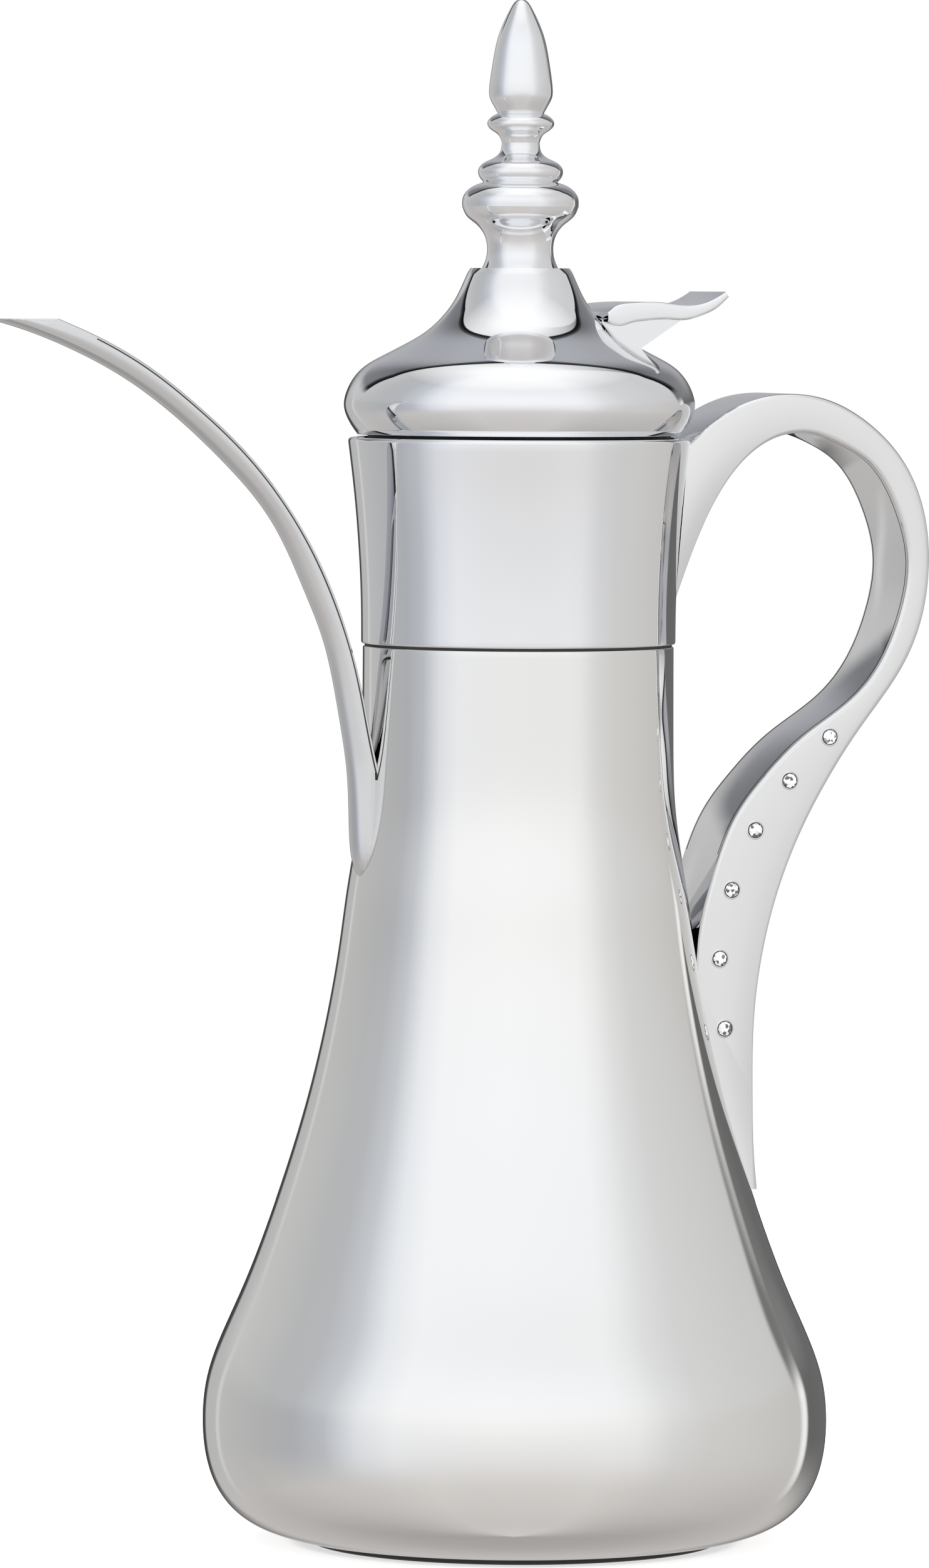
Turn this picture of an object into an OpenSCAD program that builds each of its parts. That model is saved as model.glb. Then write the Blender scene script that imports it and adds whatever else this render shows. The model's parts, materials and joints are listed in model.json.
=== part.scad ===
// Insulated coffee pot (dallah) that pours through a thumb-operated valve in its stopper.
// Origin: centre of the resting plane, on the axis of the body. +Z up, spout toward -X,
// handle toward +X. Millimetres.

/* [Body] */
// Radius of the belly at its widest
belly_r = 75; // [72:0.5:78]
// Radius of the neck, at the seam under the collar
neck_r = 37.2; // [36.8:0.1:37.6]
// Thickness of the steel body
body_wall = 0.8; // [0.6:0.1:1.4]
// Height of the seam between body and collar
seam_z = 215; // [213:0.5:216]
// Height of the top edge of the collar
collar_top_z = 264.7; // [264:0.1:264.7]

/* [Flask] */
// Thickness of each glass wall
glass_wall = 1.6; // [1:0.1:2]
// Width of the vacuum between the two glass walls
vacuum_gap = 3; // [2:0.1:3.5]
// Height of the mouth of the glass flask
mouth_z = 160; // [159:0.5:160]
// Bore of the neck insert that the stopper slides in
insert_bore_r = 31; // [30.8:0.1:31.4]

/* [Lid] */
// Thickness of the lid dome
dome_wall = 1.4; // [1:0.1:1.6]
// Radius of the stopper
stopper_r = 30.2; // [29.6:0.1:30.2]
// Radius of the valve rod
rod_r = 2.5; // [2:0.1:2.6]
// Distance from the pot's axis to the lever's hinge pin
pivot_x = 14; // [13.5:0.1:14.5]
// Height of the lever's hinge pin
pivot_z = 286; // [285.5:0.1:286.5]
// Radius of the lever's hinge pin
pin_r = 1.5; // [1.2:0.1:1.8]

/* [Spout and handle] */
// Width of the spout at its root
spout_root_w = 9; // [8:0.2:10]
// Width of the spout at its tip
spout_tip_w = 7.4; // [6.4:0.2:8]
// Thickness of the spout's wall
spout_wall = 1; // [0.8:0.1:1.2]
// Width of the handle
handle_w = 24; // [20:0.5:26]
// Wall of the hollow handle
handle_wall = 1.8; // [1.4:0.1:1.9]
// Width of the thumb plate
thumb_w = 24.4; // [22:0.2:25]

/* [Crystals] */
// Radius of each crystal
crystal_r = 1.8; // [1.5:0.05:1.95]
// Radius of the bezel that holds it
bezel_r = 2.2; // [2.05:0.05:2.5]

/* [Hidden] */
STEPS = 4;
FACES = 72;
eps = 0.02;
fit = 0.1;

// Resting surface, base and flask cushion
foot_h = 1.3;
body_z = 1.5;
base_lip_r = 50.6;
cap_flange_r = 50.3;
cap_flange_top = body_z + body_wall;
cap_thread_r = 45;
base_ring_top = 12;
ring_gap = 0.2;
cushion_r = 25;

// Screws of the handle: height, where the head starts, and where the screw ends
HANDLE_SCREWS = [[255.5, 35.9, 44], [116, 43.6, 53.6]];
screw_r = 1.6;
head_r = 3;
head_h = 2;
rib_h = 6.4;

// Chamber between the flask and the spout
seal_h = 2.2;
insert_bottom = mouth_z + seal_h;
insert_floor = insert_bottom + 2.5;
insert_r = 35.6;
insert_top = 261.5;
port_w = 5.6;
port_bottom = 167.5;
port_top = 180.5;

// Stopper and valve
stopper_bottom = 165.8;
seat_top = stopper_bottom + 3;
seat_r = 11;
window_w = 16;
window_top = 184.5;
guide_bottom = 186.5;
guide_top = 189.5;
stopper_wall = 2.7;
stopper_seal_r = insert_bore_r - 0.3;
lid_base_z = 264.1;
lid_base_top = 266.6;
lid_base_r = 36.3;
screw_ring_r = 24;
screw_hole_r = 1.54;
clip_z = 231;
clip_h = 1.2;
spring_r = 4.6;
spring_wire = 0.9;
spring_turns = 9;
fork_z = 285;
fork_r = 3;
flange_z = fork_z + fork_r + 0.3;

// Smooth curve through hand-placed points
function catmull(a, b, c, d, t) =
    0.5 * (2 * b + (c - a) * t + (2 * a - 5 * b + 4 * c - d) * t * t
           + (3 * b - a - 3 * c + d) * t * t * t);
function smooth(p, steps = STEPS) = concat(
    [for (i = [0 : len(p) - 2]) for (k = [0 : steps - 1])
        catmull(p[max(i - 1, 0)], p[i], p[i + 1], p[min(i + 2, len(p) - 1)], k / steps)],
    [p[len(p) - 1]]);
function reversed(p) = [for (i = [len(p) - 1 : -1 : 0]) p[i]];
function unit(v) = v / norm(v);
// The same curve moved to its left by d, and never across the axis
function beside(p, d) = [
    for (i = [0 : len(p) - 1])
        let (t = unit(p[min(i + 1, len(p) - 1)] - p[max(i - 1, 0)]))
        p[i] + d * [-t[1], t[0]]];
function off_axis(p) = [for (q = p) [max(q[0], 0), q[1]]];
function swell(f) = neck_r + (belly_r - neck_r) * f;

// Outline of the body from its lip up to the seam: swell is 0 at the neck and 1 at the belly
BODY = smooth([
    [swell(0.43), body_z], [swell(0.69), 4.5], [swell(0.875), 10.5], [swell(0.972), 19],
    [swell(1), 29.5], [swell(0.975), 39], [swell(0.89), 48.5], [swell(0.755), 60],
    [swell(0.625), 72.5], [swell(0.515), 84.5], [swell(0.41), 97], [swell(0.325), 108.5],
    [swell(0.25), 120.5], [swell(0.185), 133], [swell(0.135), 145], [swell(0.095), 156.5],
    [swell(0.045), 168], [swell(0.015), 177], [swell(0.003), 190], [neck_r, seam_z]]);
BODY_IN = beside(BODY, body_wall);
COLLAR = smooth([
    [neck_r - 0.2, seam_z + 0.6], [neck_r + 0.3, seam_z + 1.4], [neck_r + 0.5, seam_z + 10],
    [neck_r + 1.3, seam_z + 26], [neck_r + 2.5, seam_z + 39], [neck_r + 3.5, collar_top_z - 2.5],
    [neck_r + 3.7, collar_top_z - 0.8], [neck_r + 3.1, collar_top_z]]);
FLASK = smooth([
    [0, 11], [26, 11.6], [47, 17], [59, 27], [61.5, 37], [58, 50], [50.5, 66],
    [44, 82], [39, 98], [35.2, 116], [32, 132], [29.6, 145], [29, 152], [29, mouth_z - 2]]);
DOME = smooth([
    [37.4, 265.05], [39.4, 266.8], [41.2, 269.4], [42.1, 272.2], [41.6, 275.2], [40, 278.6],
    [37.2, 281.7], [33, 284.2], [27.6, 287], [22.4, 290.1], [18.6, 293.6], [16, 297],
    [14.3, 300.2], [12.9, 303.4], [12.2, 304.9], [11.2, 305.3]]);
DOME_IN = beside(DOME, dome_wall);
dome_top = 305.3;

// Edges of the handle, seen from the side
HANDLE_OUT = smooth([
    [40.5, 264.3], [44, 267.8], [49, 271.2], [56.6, 274.4], [66, 275.5], [76, 273.8], [86, 268.3],
    [94.7, 259.5], [100.2, 247.5], [101.7, 235.5], [99.8, 221], [93.9, 208], [84.5, 195.5],
    [75.9, 183], [68, 168.6], [62.3, 154], [58.6, 139], [56.8, 124], [56.6, 107], [57.9, 84]]);
HANDLE_IN = smooth([
    [35.6, 225.5], [40.8, 239.2], [46.3, 250.4], [53.4, 259.6], [61.5, 264.9], [70, 266],
    [78, 263.5], [86, 258.6], [92.5, 248.5], [95.8, 238], [94.9, 226.5], [90, 212.8],
    [82.2, 202.7], [68.8, 193], [58.6, 183.2], [51.2, 173.4], [45.9, 160], [42.7, 147.5], [41.8, 134.5]]);
handle_low_z = 82.5;

// Edges of the spout in its middle plane, from inside the neck out to the tip: far is the rounded
// nose side that faces away from the pot, near is the side that faces it
SPOUT_FAR = smooth([
    [-36, 156], [-40.6, 160.5], [-42.4, 170], [-43, 184], [-45.2, 198.6], [-49, 216],
    [-54.1, 228.5], [-62.2, 244.8], [-73.7, 258.3], [-86.9, 270.2], [-99.8, 279.3], [-112.1, 285.6],
    [-126, 290.9], [-140, 294.4]]);
SPOUT_NEAR = smooth([
    [-30, 164], [-32.5, 170], [-34.5, 177], [-37, 186.5], [-39.5, 198], [-43.3, 214],
    [-48.5, 228.7], [-57.1, 245], [-68.3, 259.7], [-81.6, 272.1], [-94.8, 282.1], [-106.9, 288.8],
    [-118, 293.5], [-128, 297.8]]);
spout_cut_z = 293;
nose_steps = 10;

// Side view of the thumb plate: top edge and underside
THUMB_TOP = smooth([
    [18, 295], [20, 296.4], [24, 297.2], [32, 297.3], [38, 296.7], [42, 297], [45.5, 298.3],
    [48.2, 299.9]]);
THUMB_SIDE = smooth([
    [48.9, 298.6], [46, 296], [42.5, 294.3], [38, 293.1], [33, 293.2], [28, 292.9], [24, 292.3],
    [21.3, 291.6], [18, 292.6]]);
web_half_w = 8.5;
slot_half_w = 9.3;
arm_half_w = 5;

// Places of the crystals on each side of the handle
CRYSTALS = [[75.7, 192.8], [65.4, 182.4], [56.6, 170.6], [50.6, 156.3], [47.6, 139.8], [49, 122.9]];

// Turned solid between an outer and an inner curve
module turned(outer, inner) {
    rotate_extrude($fn = FACES) polygon(concat(outer, reversed(inner)));
}

module ring(inner_r, outer_r, z0, z1) {
    translate([0, 0, z0]) difference() {
        cylinder(r = outer_r, h = z1 - z0, $fn = FACES);
        translate([0, 0, -1]) cylinder(r = inner_r, h = z1 - z0 + 2, $fn = FACES);
    }
}

// Everything inside the outer surface of body and collar, for pieces that lie against it
module pot_outline() {
    rotate_extrude($fn = FACES) polygon(concat([[0, body_z]], BODY, COLLAR, [[0, collar_top_z]]));
}

module body_cavity() {
    rotate_extrude($fn = FACES) polygon(concat([[0, BODY_IN[0][1]]], BODY_IN, [[0, seam_z]]));
}

// Round-ended upright slot through the wall on the spout side
module port(w, z0, z1, x0, x1) {
    for (z = [z0 + w / 2, z1 - w / 2])
        translate([x0, 0, z]) rotate([0, 90, 0]) cylinder(d = w, h = x1 - x0, $fn = 32);
    translate([x0, -w / 2, z0 + w / 2]) cube([x1 - x0, w, z1 - z0 - w]);
}

module outer_body() {
    lip = [[base_lip_r, body_z + body_wall], [base_lip_r, body_z]];
    color("gainsboro") difference() {
        rotate_extrude($fn = FACES) polygon(concat(BODY, reversed(BODY_IN), lip));
        port(port_w, port_bottom, port_top, -50, -20);
        screw_bar(HANDLE_SCREWS[1], screw_r + 0.4, 20);
    }
}

// Bar along the axis of a handle screw, starting at its head
module screw_bar(screw, r, length) {
    translate([screw[1], 0, screw[0]]) rotate([0, 90, 0]) cylinder(r = r, h = length, $fn = 32);
}

module base_ring() {
    color("dimgray") ring(cap_thread_r + ring_gap, 51.4, cap_flange_top, base_ring_top);
}

module base_cap() {
    color("silver") {
        translate([0, 0, foot_h]) cylinder(r = cap_flange_r, h = cap_flange_top - foot_h, $fn = FACES);
        ring(cap_thread_r - 1.8, cap_thread_r, cap_flange_top, base_ring_top - 1);
    }
}

module foot_pad() {
    color("black") rotate_extrude($fn = FACES)
        polygon([[0, 0], [49, 0], [49.5, 0.4], [49.5, foot_h], [0, foot_h]]);
}

module flask_cushion() {
    color("lightgray") difference() {
        ring(12, cushion_r, cap_flange_top, 16);
        rotate_extrude($fn = FACES) polygon(concat(FLASK, [[0, mouth_z]]));
    }
}

module flask_outer_glass() {
    color("lightsteelblue") turned(FLASK, off_axis(beside(FLASK, glass_wall)));
}

module flask_inner_glass() {
    outside = off_axis(beside(FLASK, glass_wall + vacuum_gap));
    inside = off_axis(beside(FLASK, 2 * glass_wall + vacuum_gap));
    lip_out = 29 - glass_wall - vacuum_gap;
    lip_in = lip_out - glass_wall;
    color("aliceblue") {
        turned(outside, inside);
        ring(lip_in, lip_out, mouth_z - 4, mouth_z);
        ring(lip_in, 29, mouth_z - 2, mouth_z);
    }
}

module flask_seal() {
    color("white") ring(23.5, 29.5, mouth_z, insert_bottom);
}

// The insert is three rings joined at the bottom and the top of the port
module port_floor() {
    color("dimgray") rotate_extrude($fn = FACES) polygon([
        [22.6, insert_bottom], [insert_r, insert_bottom], [insert_r, port_bottom],
        [insert_bore_r, port_bottom], [insert_bore_r, insert_floor], [22.6, insert_floor]]);
}

module port_ring() {
    color("dimgray") difference() {
        ring(insert_bore_r, insert_r, port_bottom, port_top);
        translate([-50, -port_w / 2, port_bottom - 1]) cube([30, port_w, port_top - port_bottom + 2]);
    }
}

module neck_insert() {
    color("dimgray") rotate_extrude($fn = FACES) polygon([
        [insert_bore_r, port_top], [insert_r, port_top], [insert_r, insert_top - 2.4],
        [neck_r + 1.5, insert_top - 2.4], [neck_r + 1.5, insert_top], [insert_bore_r, insert_top]]);
}

module seam_gasket() {
    color("black") ring(insert_r, neck_r - 0.4, seam_z, seam_z + 0.6);
}

module collar() {
    color("whitesmoke") difference() {
        turned(COLLAR, beside(COLLAR, 1.5));
        screw_bar(HANDLE_SCREWS[0], screw_r + 0.4, 20);
    }
}

module port_gasket() {
    color("white") intersection() {
        difference() {
            port(port_w + 5, port_bottom - 2.5, port_top + 2.5, -38.5, -34);
            port(port_w, port_bottom, port_top, -50, -20);
            cylinder(r = insert_r, h = 220, $fn = FACES);
        }
        body_cavity();
    }
}

// Width of the spout at step i of n
function spout_half(i, n) = (spout_root_w + (spout_tip_w - spout_root_w) * i / n) / 2;

// Closed solid through sections that all have the same number of points
module loft(sections) {
    n = len(sections[0]);
    m = len(sections);
    sides = [for (i = [0 : m - 2]) for (k = [0 : n - 1])
        [i * n + k, i * n + (k + 1) % n, (i + 1) * n + (k + 1) % n, (i + 1) * n + k]];
    first = [for (k = [n - 1 : -1 : 0]) k];
    last = [for (k = [0 : n - 1]) (m - 1) * n + k];
    polyhedron(points = [for (s = sections) for (p = s) p],
        faces = concat([first], sides, [last]), convexity = 6);
}

// Section of the spout at step i: a rounded nose, straight sides, and the same curve inside it
function nose(near, far, half, inset) =
    let (depth = norm(far - near) - inset, u = unit(far - near), w = half - inset)
    let (round = min(w, 0.7 * depth))
    concat(
        [[near[0], -w, near[1]]],
        [for (k = [0 : nose_steps])
            let (a = 180 * k / nose_steps - 90)
            let (q = near + u * (depth - round + round * cos(a)))
            [q[0], w * sin(a), q[1]]],
        [[near[0], w, near[1]]]);

module spout_shell() {
    n = len(SPOUT_FAR) - 1;
    sections = [for (i = [0 : n])
        let (half = spout_half(i, n))
        concat(nose(SPOUT_NEAR[i], SPOUT_FAR[i], half, 0),
            reversed(nose(SPOUT_NEAR[i], SPOUT_FAR[i], half, spout_wall)))];
    color("whitesmoke") difference() {
        loft(sections);
        pot_outline();
        translate([-160, -20, spout_cut_z]) cube([80, 40, 20]);
    }
}

module spout_cover() {
    n = len(SPOUT_FAR) - 1;
    sections = [for (i = [0 : n])
        let (near = SPOUT_NEAR[i], u = unit(SPOUT_FAR[i] - near))
        let (w = spout_half(i, n) - spout_wall - 0.02, back = near + u * spout_wall)
        [[near[0], -w, near[1]], [back[0], -w, back[1]], [back[0], w, back[1]], [near[0], w, near[1]]]];
    color("lightgray") difference() {
        loft(sections);
        pot_outline();
        translate([-160, -20, spout_cut_z]) cube([80, 40, 20]);
    }
}

module side_plate(points, w) {
    rotate([90, 0, 0]) linear_extrude(w, center = true) polygon(points);
}

module handle_shell() {
    outline = concat(HANDLE_OUT, [[50, handle_low_z - 2], [36, 100], [36, 120]],
        reversed(HANDLE_IN), [[34, 226], [34, 264]]);
    hollow = concat(reversed(beside(reversed(HANDLE_OUT), handle_wall)),
        [[50, handle_low_z + 6], [36, 100], [36, 120]],
        reversed(HANDLE_IN), [[34, 228], [34, 260]]);
    color("whitesmoke") difference() {
        union() {
            difference() {
                side_plate(outline, handle_w);
                side_plate(hollow, handle_w - 2 * handle_wall);
            }
            for (screw = HANDLE_SCREWS) translate([screw[1], 1 - handle_w / 2, screw[0] - rib_h / 2])
                cube([screw[2] - screw[1] + 0.6, handle_w - 2, rib_h]);
        }
        pot_outline();
        for (screw = HANDLE_SCREWS) screw_bar(screw, screw_r, screw[2] - screw[1]);
        for (p = CRYSTALS) for (s = [-1, 1])
            translate([p[0], s * handle_w / 2, p[1]]) rotate([90, 0, 0])
                cylinder(r = bezel_r, h = 1.6, center = true, $fn = 32);
    }
}

module handle_cover() {
    strip = concat(HANDLE_IN, reversed(beside(HANDLE_IN, handle_wall - 0.4)));
    color("lightgray") difference() {
        side_plate(strip, handle_w - 2 * handle_wall - 0.04);
        pot_outline();
    }
}

// Two screws that hold the handle, with their heads inside the collar and the body
module handle_screws() {
    color("darkgray") for (screw = HANDLE_SCREWS) {
        screw_bar(screw, screw_r, screw[2] - screw[1]);
        screw_bar(screw, head_r, head_h);
    }
}

module crystal_bezels() {
    color("silver") for (p = CRYSTALS) for (s = [-1, 1])
        translate([p[0], s * (handle_w / 2 - 0.15), p[1]]) rotate([90, 0, 0]) difference() {
            cylinder(r = bezel_r, h = 1.3, center = true, $fn = 32);
            translate([0, 0, -s * 0.4]) cylinder(r = crystal_r, h = 1.3, center = true, $fn = 32);
        }
}

module crystals() {
    color("white") for (p = CRYSTALS) for (s = [-1, 1])
        translate([p[0], s * (handle_w / 2 - 0.4), p[1]]) rotate([-s * 90, 0, 0]) {
            cylinder(r = crystal_r - 0.02, h = 0.4, $fn = 24);
            translate([0, 0, 0.4]) cylinder(r1 = crystal_r - 0.02, r2 = 0.8, h = 0.6, $fn = 24);
        }
}

module lid_dome() {
    top = [[2.1, dome_top], [2.1, dome_top - dome_wall]];
    color("whitesmoke") difference() {
        rotate_extrude($fn = FACES) polygon(concat(DOME, top, reversed(DOME_IN)));
        translate([15, -slot_half_w, 270]) cube([17.6, 2 * slot_half_w, 40]);
    }
}

module lid_base() {
    color("dimgray") difference() {
        union() {
            translate([0, 0, lid_base_z]) cylinder(r = lid_base_r, h = lid_base_top - lid_base_z, $fn = FACES);
            for (s = [-1, 1]) translate([pivot_x - 3, s * 7.4 - 1.5, lid_base_top - eps])
                cube([6, 3, pivot_z + 3 - lid_base_top]);
        }
        translate([0, 0, 200]) cylinder(r = rod_r + fit, h = 100, $fn = 48);
        translate([pivot_x, 0, pivot_z]) rotate([90, 0, 0])
            cylinder(r = pin_r + 0.02, h = 40, center = true, $fn = 48);
        for (a = [60, 180, 300]) rotate(a) translate([screw_ring_r, 0, 200])
            cylinder(r = screw_hole_r + 0.2, h = 100, $fn = 32);
    }
}

module lid_gasket() {
    color("black") ring(stopper_r + 0.4, 36, insert_top + 0.3, lid_base_z);
}

module lid_screws() {
    color("darkgray") for (a = [60, 180, 300]) rotate(a) translate([screw_ring_r, 0, 0]) {
        translate([0, 0, lid_base_z - 6]) cylinder(r = 1.5, h = lid_base_top - lid_base_z + 6, $fn = 32);
        translate([0, 0, lid_base_top]) cylinder(r = 3, h = 1.8, $fn = 32);
    }
}

module stopper_body() {
    inner_r = stopper_r - stopper_wall;
    groove_r = stopper_r - 1.4;
    color("dimgray") difference() {
        rotate_extrude($fn = FACES) polygon([
            [seat_r, stopper_bottom], [stopper_r, stopper_bottom], [stopper_r, stopper_bottom + 1],
            [groove_r, stopper_bottom + 1], [groove_r, stopper_bottom + 4], [stopper_r, stopper_bottom + 4],
            [stopper_r, lid_base_z], [screw_ring_r - 4, lid_base_z], [screw_ring_r - 4, lid_base_z - 4],
            [inner_r, lid_base_z - 4], [inner_r, guide_top], [rod_r + fit, guide_top],
            [rod_r + fit, guide_bottom], [inner_r, guide_bottom], [inner_r, seat_top], [seat_r, seat_top]]);
        for (a = [0, 90]) rotate(a) translate([-40, -window_w / 2, stopper_bottom + 6])
            cube([80, window_w, window_top - stopper_bottom - 6]);
        for (a = [60, 180, 300]) rotate(a) translate([screw_ring_r, 0, lid_base_z - 5])
            cylinder(r = screw_hole_r, h = 10, $fn = 32);
    }
}

module stopper_seal() {
    color("white") rotate_extrude($fn = FACES) polygon([
        [stopper_r - 1.4, stopper_bottom + 1], [stopper_r, stopper_bottom + 1],
        [stopper_seal_r, stopper_bottom + 2.1], [stopper_seal_r, stopper_bottom + 2.9],
        [stopper_r, stopper_bottom + 4], [stopper_r - 1.4, stopper_bottom + 4]]);
}

// Turned finial piece with a bore for the stud
module finial_piece(curve) {
    n = len(curve) - 1;
    rotate_extrude($fn = FACES)
        polygon(concat([[2.05, curve[0][1]]], curve, [[2.05, curve[n][1]]]));
}

module finial_base() {
    color("whitesmoke") finial_piece(smooth([
        [9.1, dome_top], [8.2, 307.5], [7.9, 310], [8.5, 313], [10.6, 315.8], [12.9, 317.8], [13.9, 320]]));
}

module finial_bulb() {
    color("whitesmoke") finial_piece(smooth([
        [13.9, 320], [13.8, 322], [12.7, 323.8], [11, 325], [8.8, 325.8]]));
}

module finial_ring() {
    color("whitesmoke") finial_piece(smooth([
        [8.8, 325.8], [9.9, 327.2], [10.1, 328.7], [9.2, 330.1], [7, 331.3], [5, 332.9], [4.5, 335.2]]));
}

module finial_bead() {
    color("whitesmoke") finial_piece(smooth([
        [4.5, 335.2], [5.3, 337], [7.3, 338.5], [8, 339.8], [7.4, 341], [5.5, 342.2]]));
}

module finial_spire() {
    curve = smooth([
        [5.5, 342.2], [6.6, 344.2], [7.5, 346.2], [7.6, 347.8], [7.2, 351.5], [6.5, 356], [5.5, 360.5],
        [4, 364.4], [2.6, 367.2], [1.3, 369], [0, 369.7]]);
    color("whitesmoke") rotate_extrude($fn = FACES)
        polygon(concat([[0, 352], [2.05, 350], [2.05, 342.2]], off_axis(curve)));
}

module finial_stud() {
    color("darkgray") translate([0, 0, 298.5]) cylinder(r = 2, h = 51, $fn = 32);
}

module finial_washer() {
    color("silver") ring(2.05, 5.2, dome_top - dome_wall - 0.8, dome_top - dome_wall);
}

module finial_nut() {
    color("darkgray") translate([0, 0, dome_top - dome_wall - 4]) difference() {
        cylinder(r = 4, h = 3.2, $fn = 6);
        translate([0, 0, -1]) cylinder(r = 2.02, h = 6, $fn = 32);
    }
}

module lever_pin() {
    color("darkgray") translate([pivot_x, 0, pivot_z]) rotate([90, 0, 0])
        cylinder(r = pin_r, h = 19, center = true, $fn = 48);
}

// Compression spring round the valve rod, under the lid base
module valve_spring() {
    z0 = clip_z + clip_h + 0.4;
    z1 = lid_base_z;
    per_turn = 14;
    n = per_turn * spring_turns;
    rise = z1 - z0 - spring_wire;
    sections = [for (i = [0 : n])
        let (a = 360 * i / per_turn, z = z0 + spring_wire / 2 + rise * i / n)
        [for (k = [0 : 5])
            let (r = spring_r + spring_wire / 2 * cos(60 * k), dz = spring_wire / 2 * sin(60 * k))
            [r * cos(a), r * sin(a), z + dz]]];
    color("silver") loft([for (s = sections) reversed(s)]);
}

module thumb_plate() {
    top = THUMB_TOP;
    under = beside(reversed(THUMB_TOP), 1.8);
    web = [[18.6, 295.4], [38.4, 294.6], [38.4, 293.2], [27.4, 286], [26, 284.4], [17.8, 284.4], [17, 290]];
    color("whitesmoke") difference() {
        union() {
            side_plate(concat(top, under), thumb_w);
            for (s = [-1, 1]) translate([0, s * (thumb_w / 2 - 0.9), 0])
                side_plate(concat(top, THUMB_SIDE), 1.8);
            side_plate(web, 2 * web_half_w);
        }
        side_plate([[15, 283], [15, 290.5], [31, 290.5], [26.2, 283]], 2 * arm_half_w + 0.1);
    }
}

// Steel arm inside the thumb plate, with the hinge bore and a fork that lifts the valve rod
module lever_arm() {
    color("silver") difference() {
        union() {
            side_plate([[15, 284.6], [26, 284.6], [29.6, 290.4], [18.4, 290.4], [14, 289.6]], 2 * arm_half_w);
            translate([pivot_x, 0, pivot_z]) rotate([90, 0, 0])
                cylinder(r = 4, h = 2 * arm_half_w, center = true, $fn = 48);
            side_plate([[0, fork_z - 2], [14, pivot_z - 3], [14, pivot_z + 1.4], [0, fork_z + 1.5]], 2 * arm_half_w);
            translate([0, 0, fork_z]) rotate([90, 0, 0])
                cylinder(r = fork_r, h = 2 * arm_half_w, center = true, $fn = 48);
        }
        translate([pivot_x, 0, pivot_z]) rotate([90, 0, 0])
            cylinder(r = pin_r + 0.05, h = 40, center = true, $fn = 48);
        translate([-8, -rod_r - 0.5, 270]) cube([11.4, 2 * rod_r + 1, 40]);
    }
}

module valve_rod() {
    color("silver") difference() {
        union() {
            translate([0, 0, seat_top + 1]) cylinder(r = rod_r, h = flange_z + 4 - seat_top, $fn = 48);
            translate([0, 0, flange_z]) cylinder(r = 5.4, h = 2, $fn = 48);
        }
        ring(rod_r - 0.6, rod_r + 2, clip_z, clip_z + clip_h);
    }
}

module valve_clip() {
    color("darkgray") ring(rod_r - 0.58, 5.3, clip_z, clip_z + clip_h);
}

module valve_disc() {
    color("dimgray") difference() {
        translate([0, 0, seat_top + 2]) cylinder(r1 = 13.5, r2 = 12.5, h = 3, $fn = FACES);
        translate([0, 0, seat_top]) cylinder(r = rod_r + 0.01, h = 8, $fn = 48);
    }
}

module valve_seal() {
    color("white") difference() {
        translate([0, 0, seat_top + 0.4]) cylinder(r = 13.5, h = 1.6, $fn = FACES);
        translate([0, 0, seat_top - 1]) cylinder(r = rod_r + 0.01, h = 8, $fn = 48);
    }
}

outer_body();
base_ring();
base_cap();
foot_pad();
flask_cushion();
flask_outer_glass();
flask_inner_glass();
flask_seal();
port_floor();
port_ring();
neck_insert();
seam_gasket();
collar();
port_gasket();
spout_shell();
spout_cover();
handle_shell();
handle_cover();
handle_screws();
crystal_bezels();
crystals();
lid_dome();
lid_base();
lid_gasket();
lid_screws();
stopper_body();
stopper_seal();
finial_base();
finial_bulb();
finial_ring();
finial_bead();
finial_spire();
finial_stud();
finial_washer();
finial_nut();
lever_pin();
valve_spring();
thumb_plate();
lever_arm();
valve_rod();
valve_clip();
valve_disc();
valve_seal();
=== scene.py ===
import json
import math

import bmesh
import bpy
import numpy as np
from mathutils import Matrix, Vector

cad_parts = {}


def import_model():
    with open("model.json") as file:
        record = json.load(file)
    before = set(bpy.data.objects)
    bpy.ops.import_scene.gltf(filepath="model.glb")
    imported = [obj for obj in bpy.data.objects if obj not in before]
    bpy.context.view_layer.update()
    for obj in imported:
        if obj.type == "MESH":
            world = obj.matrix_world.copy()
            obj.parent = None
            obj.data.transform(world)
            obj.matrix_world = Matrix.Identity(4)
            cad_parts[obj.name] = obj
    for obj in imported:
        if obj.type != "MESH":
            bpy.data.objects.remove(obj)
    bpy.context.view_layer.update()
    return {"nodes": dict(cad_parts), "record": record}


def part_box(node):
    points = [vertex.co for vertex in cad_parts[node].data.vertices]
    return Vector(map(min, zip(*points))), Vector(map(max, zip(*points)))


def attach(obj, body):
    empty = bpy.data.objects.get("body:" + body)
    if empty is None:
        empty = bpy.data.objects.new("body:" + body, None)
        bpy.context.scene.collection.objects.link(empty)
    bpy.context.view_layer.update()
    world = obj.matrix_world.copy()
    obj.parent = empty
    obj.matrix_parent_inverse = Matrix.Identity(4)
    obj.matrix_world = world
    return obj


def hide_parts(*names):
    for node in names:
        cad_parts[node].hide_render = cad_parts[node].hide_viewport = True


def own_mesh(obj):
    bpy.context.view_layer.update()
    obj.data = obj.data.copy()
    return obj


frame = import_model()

MM = 0.001
SEGMENTS = 224  # faces round the body, collar and dome
SOFTEST = 0.2  # radius in mm of an edge that is only broken


# ---------------------------------------------------------------- curves, in millimetres

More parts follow.
